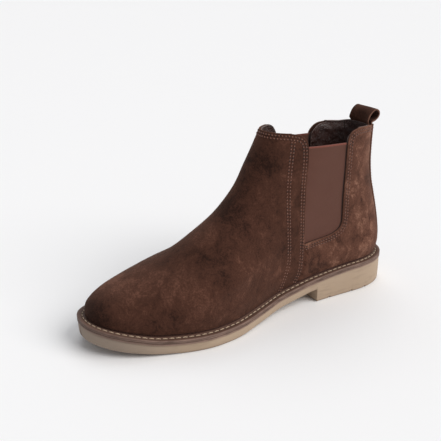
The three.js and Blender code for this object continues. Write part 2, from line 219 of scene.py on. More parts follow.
def planPoint(p, outset):
    # feather line seen from above, moved outwards
    e = 0.006
    s = skin(np.zeros_like(p), p)
    d = skin(np.zeros_like(p), p + e) - skin(np.zeros_like(p), p - e)
    n = np.stack([d[..., 1], -d[..., 0]], -1)
    n /= np.linalg.norm(n, axis=-1, keepdims=True)
    s[..., :2] -= n * np.asarray(outset, float)[..., None]
    return s


ringSteps = np.arange(-1, 1, 1 / 32)
weltEdge = planPoint(ringSteps, weltReach(skin(0 * ringSteps, ringSteps)[:, 1]))
weltLow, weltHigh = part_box("welt")
shiftX = (weltLow.x + weltHigh.x) * 500 - (weltEdge[:, 0].min() + weltEdge[:, 0].max()) / 2
shiftY = (weltLow.y + weltHigh.y) * 500 + (weltEdge[:, 1].min() + weltEdge[:, 1].max()) / 2


def place(points):
    # pattern millimetres to the row frame in metres
    q = np.asarray(points, float)
    return np.stack([q[..., 0] + shiftX, shiftY - q[..., 1], q[..., 2]], -1) / 1000


# meshes


def meshObject(name, verts, faces, material, smoothAngle=40, attributes=None, uv=None):
    mesh = bpy.data.meshes.new(name)
    mesh.from_pydata([tuple(v) for v in verts], [], [tuple(f) for f in faces])
    mesh.polygons.foreach_set("use_smooth", [True] * len(mesh.polygons))
    for key, values in (attributes or {}).items():
        a = mesh.attributes.new(key, "FLOAT", "POINT")
        a.data.foreach_set("value", np.asarray(values, np.float32).ravel())
    if uv is not None:
        layer = mesh.uv_layers.new(name="UVMap")
        loops = np.zeros(len(mesh.loops), int)
        mesh.loops.foreach_get("vertex_index", loops)
        layer.data.foreach_set("uv", np.asarray(uv, np.float32)[loops].ravel())
    if smoothAngle < 180:
        mesh.set_sharp_from_angle(angle=math.radians(smoothAngle))
    mesh.materials.append(material)
    obj = bpy.data.objects.new(name, mesh)
    bpy.context.scene.collection.objects.link(obj)
    return obj


def gridFaces(rows, cols, start=0, closedCols=False, flip=False):
    r, c = np.meshgrid(np.arange(rows - 1), np.arange(cols if closedCols else cols - 1), indexing="ij")
    n = (c + 1) % cols
    quads = np.stack([r * cols + c, r * cols + n, (r + 1) * cols + n, (r + 1) * cols + c], -1).reshape(-1, 4)
    return (quads[:, ::-1] if flip else quads) + start


def orient(verts, faces):
    # faces of a closed body turned outwards
    v = np.asarray(verts)
    f = np.asarray(faces)
    a, b, c, d = (v[f[:, i]] for i in range(4))
    volume = (np.cross(b - a, c - a) * a).sum() + (np.cross(c - a, d - a) * a).sum()
    return f if volume > 0 else f[:, ::-1]


def closedSheet(outer, inner):
    # one closed body from two grids of the same shape
    rows, cols = outer.shape[:2]
    n = rows * cols
    verts = np.concatenate([outer.reshape(-1, 3), inner.reshape(-1, 3)])
    faces = [gridFaces(rows, cols), gridFaces(rows, cols, n, flip=True)]
    ids = np.arange(n).reshape(rows, cols)
    border = np.concatenate([ids[0, :], ids[1:, -1], ids[-1, -2::-1], ids[-2:0:-1, 0]])
    nxt = np.roll(border, -1)
    faces.append(np.stack([border, border + n, nxt + n, nxt], -1))
    return verts, orient(verts, np.concatenate(faces))


def spaced(n, fine):
    # n even steps from 0 to 1 with finer ones at both ends
    return np.unique(np.concatenate([np.linspace(0, 1, n + 1), fine, [1 - f for f in fine]]))


def skinGrid(t, startOf, endOf, w):
    # levels, places and normals on the skin: rows at the levels t, columns at the shares w of the way round
    a, b = startOf(t), endOf(t)
    p = a[:, None] + (b - a)[:, None] * w[None]
    tt = np.repeat(t[:, None], len(w), 1)
    return tt, skin(tt, p), skinNormal(tt, p)


def edgeDrop(edge, radius):
    # how far a rounded edge falls away at this distance from it
    return radius - np.sqrt(np.maximum(radius ** 2 - np.maximum(radius - edge, 0) ** 2, 0))


def fasten(obj, nodes=()):
    # a piece of the boot's own body, with the CAD nodes that it stands for
    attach(obj, "boot")
    if nodes:
        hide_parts(*nodes)


def edgeDistances(points):
    # distance in mm of each grid point to the grid's border, along rows and columns
    rowStep = np.linalg.norm(np.diff(points, axis=0), axis=-1)
    colStep = np.linalg.norm(np.diff(points, axis=1), axis=-1)
    down = np.concatenate([np.zeros((1, points.shape[1])), rowStep.cumsum(0)])
    across = np.concatenate([np.zeros((points.shape[0], 1)), colStep.cumsum(1)], 1)
    vertical = np.minimum(down, down[-1:] - down)
    sideways = np.minimum(across, across[:, -1:] - across)
    return np.minimum(vertical, sideways), down, across


def nearSeams(points, seams):
    # distance to the nearest stitch row
    best = np.full(points.shape[:-1], 1e3)
    flat = points.reshape(-1, 3)
    out = best.reshape(-1)
    for seam in seams:
        line = seam[::3]
        for start in range(0, len(flat), 4000):
            part = flat[start:start + 4000]
            d = np.linalg.norm(part[:, None] - line[None], axis=-1).min(1)
            out[start:start + 4000] = np.minimum(out[start:start + 4000], d)
    return out.reshape(points.shape[:-1])


def softNoise(points, scale, seed=0.0):
    flat = points.reshape(-1, 3) / scale
    vals = [noise.noise(Vector((a + seed, b, c))) for a, b, c in flat]
    return np.array(vals).reshape(points.shape[:-1])


panel = {"thick": 1.5, "edgeRound": 0.5, "groove": 0.28, "grooveWidth": 0.9, "swellScale": 26.0}

# where the nap lies another way, and painted light and shade: forward, up, radius, lighter or darker
napAndLightPatches = [
    (267, 47, 22, 0.38),
    (288, 33, 13, -0.7),
    (250, 30, 12, -0.15),
    (205, 76, 18, -0.25),
    (166, 96, 15, -0.55),
    (144, 82, 12, 0.15),
    (137, 135, 13, -0.6),
    (125, 42, 13, 0.4),
    (84, 39, 13, -0.55),
    (52, 58, 9, -0.2),
    (24, 140, 13, 0.35),
]


def toneAt(points):
    tone = np.zeros(points.shape[:-1])
    for u, z, radius, amount in napAndLightPatches:
        d2 = (points[..., 1] - u) ** 2 + (points[..., 2] - z) ** 2
        tone += amount * np.exp(-d2 / radius ** 2)
    return tone


def suedePanel(name, t, startOf, endOf, cols, material, seams, swell, nodes, tuck=None,
               colFine=(0.003, 0.009)):
    # a panel lying in the skin: rows at the levels t, columns from startOf(t) to endOf(t)
    s, n = skinGrid(t, startOf, endOf, spaced(cols, colFine))[1:]
    edge, down, across = edgeDistances(s)
    drop = edgeDrop(edge, panel["edgeRound"])
    d = drop
    if tuck is not None:
        d = d + tuck(s)
    near = nearSeams(s, seams)
    d = d + panel["groove"] * np.exp(-(near / panel["grooveWidth"]) ** 2)
    d = d - swell * softNoise(s, panel["swellScale"]) * smooth(1.5, 8, edge)
    base = panel["thick"] + (d - drop) * 0.5
    outer = s - n * d[..., None]
    inner = s - n * base[..., None]
    verts, faces = closedSheet(place(outer), place(inner))
    count = edge.size
    attributes = {
        "edge": np.concatenate([edge.ravel(), np.zeros(count)]),
        "seam": np.concatenate([near.ravel(), near.ravel()]),
        "face": np.concatenate([np.ones(count), np.zeros(count)]),
        "tone": np.tile(toneAt(s).ravel(), 2),
    }
    uv = np.stack([across.ravel(), down.ravel()], -1) / 1000
    obj = meshObject(name, verts, faces, material, 50, attributes, np.concatenate([uv, uv]))
    fasten(obj, nodes)


# materials


class Socket:
    # a shader value that can be written in ordinary expressions

    def __init__(self, tree, link):
        self.tree, self.link = tree, link

    def math(self, operation, other=None, swap=False):
        node = self.tree.nodes.new("ShaderNodeMath")
        node.operation = operation
        values = [self, other] if not swap else [other, self]
        for slotNumber, value in enumerate(values):
            if isinstance(value, Socket):
                self.tree.links.new(value.link, node.inputs[slotNumber])
            elif value is not None:
                node.inputs[slotNumber].default_value = value
        return Socket(self.tree, node.outputs[0])

    def __add__(self, other):
        return self.math("ADD", other)

    def __radd__(self, other):
        return self.math("ADD", other, swap=True)

    def __sub__(self, other):
        return self.math("SUBTRACT", other)

    def __rsub__(self, other):
        return self.math("SUBTRACT", other, swap=True)

    def __mul__(self, other):
        return self.math("MULTIPLY", other)

    def __rmul__(self, other):
        return self.math("MULTIPLY", other, swap=True)

    def clamp(self, low=0.0, high=1.0):
        return self.math("MAXIMUM", low).math("MINIMUM", high)

    def above(self, low, high):
        # 0 below low, 1 above high, smooth between
        node = self.tree.nodes.new("ShaderNodeMapRange")
        node.interpolation_type = "SMOOTHSTEP"
        self.tree.links.new(self.link, node.inputs["Value"])
        node.inputs["From Min"].default_value = low
        node.inputs["From Max"].default_value = high
        return Socket(self.tree, node.outputs["Result"])

    def sine(self):
        return self.math("SINE")


class Shader:
    # one material's node tree

    def __init__(self, name, **constants):
        self.material = bpy.data.materials.new(name)
        self.material.use_nodes = True
        self.tree = self.material.node_tree
        self.principled = self.tree.nodes["Principled BSDF"]
        for key, value in constants.items():
            self.principled.inputs[key.replace("_", " ")].default_value = value

    def node(self, kind, settings=None, **sockets):
        node = self.tree.nodes.new(kind)
        for key, value in (settings or {}).items():
            if key == "stops":
                ramp = node.color_ramp
                while len(ramp.elements) < len(value):
                    ramp.elements.new(0.5)
                for element, (position, colour) in zip(ramp.elements, value):
                    element.position = position
                    element.color = colour
            else:
                setattr(node, key, value)
        for key, value in sockets.items():
            self.put(node, key.replace("_", " "), value)
        return node

    def put(self, node, key, value):
        target = node.inputs[int(key[1:])] if key[0] == "i" and key[1:].isdigit() else node.inputs[key]
        if isinstance(value, Socket):
            self.tree.links.new(value.link, target)
        else:
            target.default_value = value

    def out(self, node, key=0):
        return Socket(self.tree, node.outputs[key])

    def attribute(self, name):
        return self.out(self.node("ShaderNodeAttribute", {"attribute_name": name}), "Fac")

    def coordinates(self, kind="Object"):
        return self.out(self.node("ShaderNodeTexCoord"), kind)

    def scaled(self, vector, scale):
        return self.out(self.node("ShaderNodeMapping", {}, Vector=vector, Scale=scale))

    def noise(self, vector, scale, detail=3.0, rough=0.5, distortion=0.0):
        node = self.node("ShaderNodeTexNoise", {}, Vector=vector, Scale=scale, Detail=detail,
                         Roughness=rough, Distortion=distortion)
        return self.out(node, "Fac")

    def mix(self, factor, a, b, blend="MIX"):
        node = self.node("ShaderNodeMix", {"data_type": "RGBA", "blend_type": blend})
        self.put(node, "i0", factor)
        self.put(node, "i6", a)
        self.put(node, "i7", b)
        return self.out(node, 2)

    def bump(self, height, distance, strength):
        return self.out(self.node("ShaderNodeBump", {}, Height=height, Strength=strength, Distance=distance))

    def finish(self, **sockets):
        for key, value in sockets.items():
            self.put(self.principled, key.replace("_", " "), value)
        return self.material


def rgb(r, g, b):
    # screen colour 0 to 255 to linear
    def linear(v):
        v /= 255
        return v / 12.92 if v <= 0.04045 else ((v + 0.055) / 1.055) ** 2.4
    return (linear(r), linear(g), linear(b), 1.0)


suedeLook = {
    "base": rgb(71, 44, 34),
    "dark": rgb(36, 20, 15),
    "brushed": rgb(112, 75, 61),
    "cutEdge": rgb(122, 88, 74),
    "napDepth": 0.00045,
    "blots": 0.7,
}
# lighter suede for the quarters: partly nap cut another way, partly painted light standing in for the key
# light
quarterNapAndLightLook = {**suedeLook, "base": rgb(90, 58, 46), "dark": rgb(46, 27, 21), "brushed": rgb(148, 107, 88),
               "blots": 1.7}


def makeSuede(name, look):
    s = Shader(name, Sheen_Weight=0.16, Sheen_Roughness=0.5, Specular_IOR_Level=0.1)
    s.principled.inputs["Sheen Tint"].default_value = (0.72, 0.44, 0.34, 1)
    at = s.coordinates()
    drift = s.node("ShaderNodeTexNoise", Vector=at, Scale=38.0, Detail=2.0)
    warped = s.out(s.node("ShaderNodeVectorMath", {"operation": "MULTIPLY_ADD"}, i0=s.out(drift, "Color"),
                          i1=(0.03, 0.03, 0.03), i2=at))
    cloud = s.noise(warped, 34.0, 3.0, 0.5)
    strokes = s.noise(s.scaled(warped, (1.0, 1.0, 0.45)), 190.0, 4.0, 0.62, 0.8)  # nap laid by a hand
    tuft = s.noise(at, 620.0, 4.0, 0.75)
    fibre = s.noise(s.scaled(at, (1.0, 1.0, 0.5)), 2600.0, 2.0, 0.7)
    seam, edge, face, tone = (s.attribute(k) for k in ("seam", "edge", "face", "tone"))
    blots = s.noise(warped, 82.0, 3.0, 0.55)
    # the tone patches add nap variation and painted light and shade
    shade = ((cloud - 0.5) * 1.7 + (blots - 0.5) * look["blots"] + (strokes - 0.5) * 1.3 + (tuft - 0.5) * 1.5
             + (fibre - 0.5) * 0.9 + tone)
    colour = s.mix(shade.above(-0.05, 0.95), look["base"], look["brushed"])
    colour = s.mix((0 - shade).above(-0.05, 0.85) * 0.95, colour, look["dark"])
    # painted shade along the stitch grooves: darker near the seams
    groove = 1 - seam.above(0.2, 1.1)
    colour = s.mix(groove * 0.45, colour, look["dark"])
    cut = (1 - edge.above(0.0, 0.35)) * face
    colour = s.mix(cut * 0.75, colour, look["cutEdge"])
    # painted shade on the lower part of the cut edge's wall and on the underside
    colour = s.mix((1 - face).above(0.35, 0.9) * 0.8, colour, look["dark"])
    height = tuft * 0.7 + fibre * 0.35 + strokes * 0.6
    normal = s.bump(height, look["napDepth"], 0.8)
    return s.finish(Base_Color=colour, Roughness=0.92 + (tuft - 0.5) * 0.15, Normal=normal)


gore = {
    "base": rgb(104, 64, 50),
    "dark": rgb(68, 40, 31),
    "band": rgb(120, 66, 54),
    # painted shadow along the gore's edges
    "seam": rgb(24, 13, 10),
    "ribPitch": 1.05,
    "ribHeight": 0.11,
    "topBand": 1.3,
    "foot": 0.255,
    "top": {1: (0.946, 0.937), -1: (0.94, 0.926)},  # level of the top edge at the front and at the rear
}


def makeElastic(name, look):
    s = Shader(name, Sheen_Weight=0.15, Sheen_Roughness=0.5, Specular_IOR_Level=0.25)
    uv = s.node("ShaderNodeSeparateXYZ", {}, Vector=s.coordinates("UV"))
    across, up = s.out(uv, 0), s.out(uv, 1)
    rib = ((across * (2 * math.pi * 1000 / look["ribPitch"])).sine() + 1) * 0.5
    weft = ((up * (2 * math.pi * 1000 / 0.55)).sine() + 1) * 0.5
    cloud = s.noise(s.coordinates(), 60.0, 3.0, 0.5)
    thread = s.noise(s.scaled(s.coordinates("UV"), (1.0, 0.06, 1.0)), 3000.0, 2.0, 0.6)
    band = 1 - s.attribute("band").above(look["topBand"] - 0.3, look["topBand"] + 0.3)
    colour = s.mix(rib * 0.45 + 0.4, look["dark"], look["base"])
    colour = s.mix((thread - 0.35).clamp() * 0.5, colour, look["dark"])
    colour = s.mix((cloud - 0.5).clamp() * 0.5, colour, look["dark"])
    colour = s.mix(band, colour, look["band"])
    # painted shadow cast on the elastic by the quarter's edge and, fainter, the panel's edge
    colour = s.mix(s.attribute("corner") * 0.85, colour, look["seam"])
    normal = s.bump(rib * 0.7 + weft * 0.35 * rib + thread * 0.3, 0.00012, 0.8)
    return s.finish(Base_Color=colour, Roughness=0.78 + rib * 0.08, Normal=normal)


liningLook = {"base": rgb(92, 56, 48), "dark": rgb(44, 24, 20), "worn": rgb(126, 104, 98)}


def makeLining(name, look):
    s = Shader(name, Specular_IOR_Level=0.6)
    at = s.coordinates()
    grain = s.node("ShaderNodeTexVoronoi", {"feature": "DISTANCE_TO_EDGE"}, Vector=at, Scale=1100.0)
    cells = s.out(grain, "Distance").above(0.0, 0.22)
    cloud = s.noise(at, 70.0, 4.0, 0.6, 0.5)
    crease = s.noise(at, 90.0, 3.0, 0.5, 1.5)
    edge = s.attribute("edge")
    colour = s.mix((cloud - 0.3).clamp() * 1.1, look["dark"], look["base"])
    colour = s.mix((1 - edge.above(0.0, 0.5)) * 0.85, colour, look["worn"])
    colour = s.mix((1 - cells) * 0.35, colour, look["dark"])
    slant = s.node("ShaderNodeSeparateXYZ", {}, Vector=at)
    fold = ((s.out(slant, 1) * 430 + s.out(slant, 2) * 620 + crease * 9.0).sine() + 1) * 0.5
    normal = s.bump(cells * 0.0002 + crease * 0.0008 + fold * 0.0005, 1.0, 0.7)
    rough = 0.25 + (cloud - 0.5) * 0.2 + (1 - cells) * 0.1
    return s.finish(Base_Color=colour, Roughness=rough, Normal=normal)


soleLook = {
    "base": rgb(170, 148, 126),
    "dirt": rgb(120, 102, 88),
    "pale": rgb(186, 164, 141),
    # toe: painted shade, the toe darker and greyer
    "toe": rgb(132, 118, 108),
}


def makeSoleRubber(name, look):
    s = Shader(name, Specular_IOR_Level=0.3)
    at = s.coordinates()
    cloud = s.noise(at, 24.0, 4.0, 0.55, 0.4)
    drag = s.noise(s.scaled(at, (1.0, 0.25, 1.6)), 160.0, 3.0, 0.6)
    fine = s.noise(at, 1500.0, 2.0, 0.6)
    low = 1 - s.attribute("rise").above(0.2, 2.6)
    colour = s.mix((cloud - 0.35).clamp() * 1.2, look["base"], look["pale"])
    colour = s.mix((drag - 0.52).clamp() * 1.3, colour, look["dirt"])
    # painted shade at the toe
    colour = s.mix(s.attribute("toe") * 0.7, colour, look["toe"])
    # darker along the bottom few millimetres
    colour = s.mix(low * 0.45, colour, look["dirt"])
    colour = s.mix((fine - 0.5).clamp() * 0.35, colour, look["dirt"])
    normal = s.bump(fine * 0.5 + drag * 0.6, 0.00012, 0.5)
    return s.finish(Base_Color=colour, Roughness=0.62 + (drag - 0.5) * 0.2, Normal=normal)


weltLook = {
    "base": rgb(146, 119, 106),
    "dark": rgb(94, 72, 62),
    "top": rgb(98, 70, 58),
    "pale": rgb(180, 154, 134),
}


def makeWeltRubber(name, look):
    s = Shader(name, Specular_IOR_Level=0.35)
    at = s.coordinates()
    drag = s.noise(s.scaled(at, (1.0, 1.0, 5.0)), 90.0, 4.0, 0.6)
    fine = s.noise(at, 1300.0, 2.0, 0.6)
    groove = s.attribute("groove")
    top = s.attribute("top")
    colour = s.mix((drag - 0.3).clamp() * 2.2, look["dark"], look["base"])
    colour = s.mix(top * 0.8, colour, look["top"])
    # painted shade in the welt's notch, stitch channel and the gap above the midsole
    colour = s.mix(groove * 0.85, colour, look["dark"])
    colour = s.mix(s.attribute("pale") * 0.8, colour, look["pale"])
    # painted shade at the toe
    colour = s.mix(s.attribute("toe") * 0.5, colour, look["dark"])
    normal = s.bump(fine * 0.6 + drag * 0.6, 0.00012, 0.5)
    return s.finish(Base_Color=colour, Roughness=0.55 + (fine - 0.5) * 0.25, Normal=normal)


def makeThread(name, light, dark, pitch):
    # twisted thread: light and dark run round it
    s = Shader(name, Specular_IOR_Level=0.35, Sheen_Weight=0.2)
    uv = s.node("ShaderNodeSeparateXYZ", {}, Vector=s.coordinates("UV"))
    along, around = s.out(uv, 0), s.out(uv, 1)
    twist = (along * (2 * math.pi / pitch) + around * (2 * math.pi * 2)).sine() * 0.5 + 0.5
    hair = s.noise(s.coordinates(), 4000.0, 2.0, 0.6)
    colour = s.mix(twist * 0.6 + (hair - 0.5) * 0.4 + 0.2, dark, light)
    colour = s.mix(s.attribute("end").above(0.55, 1.0) * 0.9, colour, rgb(24, 14, 11))  # painted shade where it dives into its hole
    return s.finish(Base_Color=colour, Roughness=0.6 + (hair - 0.5) * 0.2, Normal=s.bump(twist, 0.0001, 0.8))


def makePlain(name, light, dark, scale, rough=0.8, depth=0.0002, metal=0.0):
    # inner pieces: granular or fibrous board, foam, steel
    s = Shader(name, Metallic=metal)
    at = s.coordinates()
    grains = s.node("ShaderNodeTexVoronoi", {"feature": "F1"}, Vector=at, Scale=scale)
    cloud = s.noise(at, scale * 0.35, 4.0, 0.6)
    colour = s.mix((s.out(grains, "Distance") + (cloud - 0.5)).clamp(), light, dark)
    normal = s.bump(s.out(grains, "Distance") + cloud, depth, 0.6)
    return s.finish(Base_Color=colour, Roughness=rough + (cloud - 0.5) * 0.2, Normal=normal)


suedeMaterial = makeSuede("brownSuede", suedeLook)
# the quarters' suede, lighter partly by painted light
quarterNapAndLightSuede = makeSuede("brownSuedeNapAndLight", quarterNapAndLightLook)
elasticMaterial = makeElastic("ribbedElastic", gore)
liningMaterial = makeLining("liningLeather", liningLook)
soleMaterial = makeSoleRubber("soleRubber", soleLook)
weltMaterial = makeWeltRubber("weltRubber", weltLook)
seamThread = makeThread("brownThread", rgb(142, 94, 75), rgb(100, 62, 48), 0.0012)
liningThread = makeThread("darkThread", rgb(112, 78, 68), rgb(60, 38, 32), 0.0012)
weltThread = makeThread("creamThread", rgb(226, 202, 176), rgb(170, 142, 114), 0.0016)
print("materials made")

# seams and stitches

rows = {
    # forward distance of each seam by height
    "panelEdge": [(18, 112), (24, 108.2), (31, 105.5), (42, 103.4), (60, 102.6), (85, 102.6), (110, 101.8),
                  (144, 98.8), (149, 99.2), (152, 100.2), (154.5, 102), (156.5, 104.6), (158, 108.2),
                  (158.9, 113)],
    "windowFoot": 59.5,
    "quarterEdge": [(59.5, 103), (60.3, 99), (61.2, 88), (62.3, 77), (64.8, 68), (68.5, 62.8), (74.5, 60.8),
                    (93, 60.3)],
    "quarterCorner": {
        1: [(125, 58.6), (144, 57.6), (148, 57), (150.8, 56), (153, 54), (154, 50.6), (154.3, 46)],
        -1: [(125, 60.1), (134, 60), (140, 59.8), (143.5, 59), (146.5, 57), (149, 54.6), (151.4, 51.5),
             (153.3, 47), (154, 42)],
    },
    "vampRow": [(18, 128), (28, 124.3), (35, 122.6), (42, 120.4), (48, 119), (60, 118.7), (78, 119),
                (104, 118.4), (121, 116.8), (138, 113.9), (154, 110.8)],
    "firstRow": 2.3,
    "rowGap": 2.6,
    "pitch": 2.85,
}
panelEdge = monotone(rows["panelEdge"])
quarterUpper = {side: monotone(rows["quarterEdge"] + rows["quarterCorner"][side]) for side in (1, -1)}


def resample(points, step):
    # points along a polyline at even steps
    seg = np.linalg.norm(np.diff(points, axis=0), axis=1)
    s = np.concatenate([[0], seg.cumsum()])
    n = max(int(s[-1] / step), 1)
    at = np.linspace(0, s[-1], n + 1)
    return np.stack([np.interp(at, s, points[:, i]) for i in range(points.shape[1])], -1)


def boundaryLine(forward, side, levels, top=None):
    # (t, p) down to up along a seam, and on along the collar to p = top
    t = np.asarray(levels, float)
    line = np.stack([t, side * seamAt(t, forward, side)], -1)
    if top is not None:
        n = 40
        extra = np.stack([np.ones(n), np.linspace(line[-1, 1], top, n + 1)[1:]], -1)
        line = np.concatenate([line, extra])
    return line


def insetRow(line, distance, sideways):
    # a row of points the given distance from the line, on the sideways (+1/-1) side of it, on the skin
    s, n = skin(line[:, 0], line[:, 1]), skinNormal(line[:, 0], line[:, 1])
    tangent = np.gradient(s, axis=0)
    tangent /= np.linalg.norm(tangent, axis=1, keepdims=True) + 1e-9
    across = np.cross(tangent, n) * sideways
    across /= np.linalg.norm(across, axis=1, keepdims=True) + 1e-9
    t, p = settle(s + across * distance, line[:, 0], line[:, 1])
    q = skin(t, p)
    # drop points nearer to the line than the row's distance: they fold over at tight corners
    fine = resample(s, 0.4)
    keep = np.array([np.linalg.norm(fine - v, axis=1).min() > distance * 0.97 for v in q])
    return np.stack([t, p], -1)[keep]


stitch = {"length": 1.85, "radius": 0.56, "slant": 0.4, "hole": 1.5, "holeRadius": 0.52, "sunk": 0.3,
          "rings": 7, "sides": 6}


def stitchRow(line, depth, length, radius, slant, outward=1.0):
    # stitches and their holes along (t, p) points: centres, directions, normals, length, radius, hole or not
    s = skin(line[:, 0], line[:, 1])
    full = resample(np.concatenate([s, line], 1), rows["pitch"])
    t, p = full[:, 3], full[:, 4]
    s, n = skin(t, p), skinNormal(t, p)
    tangent = np.gradient(s, axis=0)
    tangent /= np.linalg.norm(tangent, axis=1, keepdims=True)
    side = np.cross(n, tangent)
    direction = tangent * math.cos(slant) + side * math.sin(slant)
    sunk = depth(s, t) if callable(depth) else np.full(len(s), depth)
    centreLine = s - n * sunk[:, None]
    holes = (centreLine[:-1] + centreLine[1:]) / 2 - n[:-1] * outward * stitch["sunk"]
    halfway = (direction[:-1] + direction[1:]) / 2
    thread = (centreLine, direction, n * outward, length, radius, 0.0)
    share = radius / stitch["radius"]
    # the hole is a dark stub sunk between stitches: painted shade in the stitch hole
    hole = (holes, halfway, n[:-1] * outward, stitch["hole"] * share, stitch["holeRadius"] * share, 1.0)
    return [thread, hole]


def stitchesMesh(name, groups, material, nodes=()):
    # every stitch is a short thread whose ends dive into the leather
    stitchRings, stitchSides = stitch["rings"], stitch["sides"]
    verts, faces, uvs, ends = [], [], [], []
    f = np.linspace(-1, 1, stitchRings)
    ang = np.arange(stitchSides) * 2 * math.pi / stitchSides
    base = gridFaces(stitchRings, stitchSides, closedCols=True)
    for centreLine, direction, normal, length, radius, hole in groups:
        side = np.cross(normal, direction)
        for c, d, n, b in zip(centreLine, direction, normal, side):
            arch = (1 - f ** 2) * radius * 1.1 - radius * 0.9
            width = radius * np.sqrt(np.maximum(1 - (np.abs(f) ** 3) * 0.85, 0))
            mid = c + d * (f * length / 2)[:, None] + n * arch[:, None]
            ring = (np.cos(ang)[None, :, None] * n + np.sin(ang)[None, :, None] * b) * width[:, None, None]
            start = len(verts) * stitchRings * stitchSides
            verts.append((mid[:, None] + ring).reshape(-1, 3))
            faces.append(base + start)
            uvs.append(np.stack([np.repeat(f * length / 2000, stitchSides),
                                 np.tile(ang / (2 * math.pi), stitchRings)], -1))
            # thread ends and whole hole stubs get the painted shade of the holes
            ends.append(np.repeat(np.maximum(np.abs(f), hole), stitchSides))
    quads = np.concatenate(faces)
    count = stitchRings * stitchSides
    caps = []
    for i in range(len(verts)):
        first = np.arange(stitchSides) + i * count
        final = first + (stitchRings - 1) * stitchSides
        caps.append(tuple(first[::-1]))
        caps.append(tuple(final))
    points = place(np.concatenate(verts))
    allFaces = [tuple(q) for q in quads[:, ::-1]] + [c[::-1] for c in caps]
    attributes = {"end": np.concatenate(ends)}
    obj = meshObject(name, points, allFaces, material, 180, attributes, np.concatenate(uvs))
    fasten(obj, nodes)


levels = np.concatenate([
    np.linspace(0.0, 0.3, 18), np.linspace(0.305, 0.36, 50), np.linspace(0.365, 0.46, 24),
    np.linspace(0.47, 0.9, 28), np.linspace(0.905, 1, 40)])
stripHalf = 13.0
seamLines, seamRows = {}, {}
for name, side in (("outer", 1), ("inner", -1)):
    edgeLine = boundaryLine(panelEdge, side, levels, 0.0)
    insets = [rows["firstRow"], rows["firstRow"] + rows["rowGap"]]
    seamLines["panel" + name] = [insetRow(edgeLine, inset, side) for inset in insets]
    vampEdge = monotone(rows["vampRow"])
    rowTop = 0.965
    vampLine = boundaryLine(vampEdge, side, levels[levels < rowTop])
    seamLines["vamp" + name] = [vampLine, insetRow(vampLine, rows["rowGap"], side)]
    upper = levels[levels > 0.334]
    stop = float(stripAt(np.array([1.0]), stripHalf + 0.5, side)[0])
    quarterLine = boundaryLine(quarterUpper[side], side, upper, side * stop)
    pair = [insetRow(quarterLine, inset, -side) for inset in insets]
    for k, line in enumerate(pair):
        ahead = skin(line[:, 0], line[:, 1])
        keep = (ahead[:, 1] < panelEdge(ahead[:, 2]) - 0.5) & (np.abs(line[:, 1]) < stop + 0.001)
        pair[k] = line[keep]
    seamLines["quarter" + name] = pair
for key, lines in seamLines.items():
    seamRows[key] = [skin(line[:, 0], line[:, 1]) for line in lines]
print("seams laid out")

# the upper

vamp = {"rows": 150, "cols": 190, "swell": 0.35}
panelLevels = np.unique(np.concatenate([np.linspace(0, 1, vamp["rows"]), [0.004, 0.997, 0.9985, 0.94, 0.99]]))
panelSeams = sum((seamRows[k] for k in seamRows if k.startswith(("panel", "vamp"))), [])
suedePanel(
    "frontPanel", panelLevels, lambda t: -seamAt(t, panelEdge, -1), lambda t: seamAt(t, panelEdge, 1),
    vamp["cols"], suedeMaterial, panelSeams, vamp["swell"], ("front_panel",), colFine=(0.0015, 0.004))

quarter = {"cols": 90, "swell": 0.35, "lap": 4.0, "step": 1.3}
quarterLevels = np.unique(np.concatenate([
    np.linspace(0, 0.3, 34), np.linspace(0.305, 0.36, 56), np.linspace(0.365, 0.46, 30),
    np.linspace(0.47, 0.93, 56), np.linspace(0.935, 1, 26), [0.9985]]))


def quarterStart(side):
    # below the elastic the quarter runs on under the front panel
    def edge(z):
        lap = quarter["lap"] * (1 - smooth(54, 58, np.asarray(z)))
        return np.where(np.asarray(z) < rows["windowFoot"], panelEdge(z) - 0.25 + lap, quarterUpper[side](z))
    return edge


def tuckUnder(s):
    ahead = s[..., 1] - panelEdge(s[..., 2])
    return quarter["step"] * smooth(-3.2, 0.0, ahead) * (1 - smooth(55, 60, s[..., 2])) * 1.35


for name, side in (("outer", 1), ("inner", -1)):
    nodeName = {"outer": "quarter_lateral", "inner": "quarter_medial"}[name]
    suedePanel(
        name + "Quarter", quarterLevels,
        lambda t, side=side: side * seamAt(t, quarterStart(side), side),
        lambda t, side=side: 0 * t + side * 0.9985,
        quarter["cols"], quarterNapAndLightSuede, seamRows["quarter" + name], quarter["swell"], (nodeName,), tuckUnder)
print("front panel and quarters made")

# elastic gores

goreRear = monotone([(50, 74), (54, 66), (60, 57), (73, 53), (144, 51)])


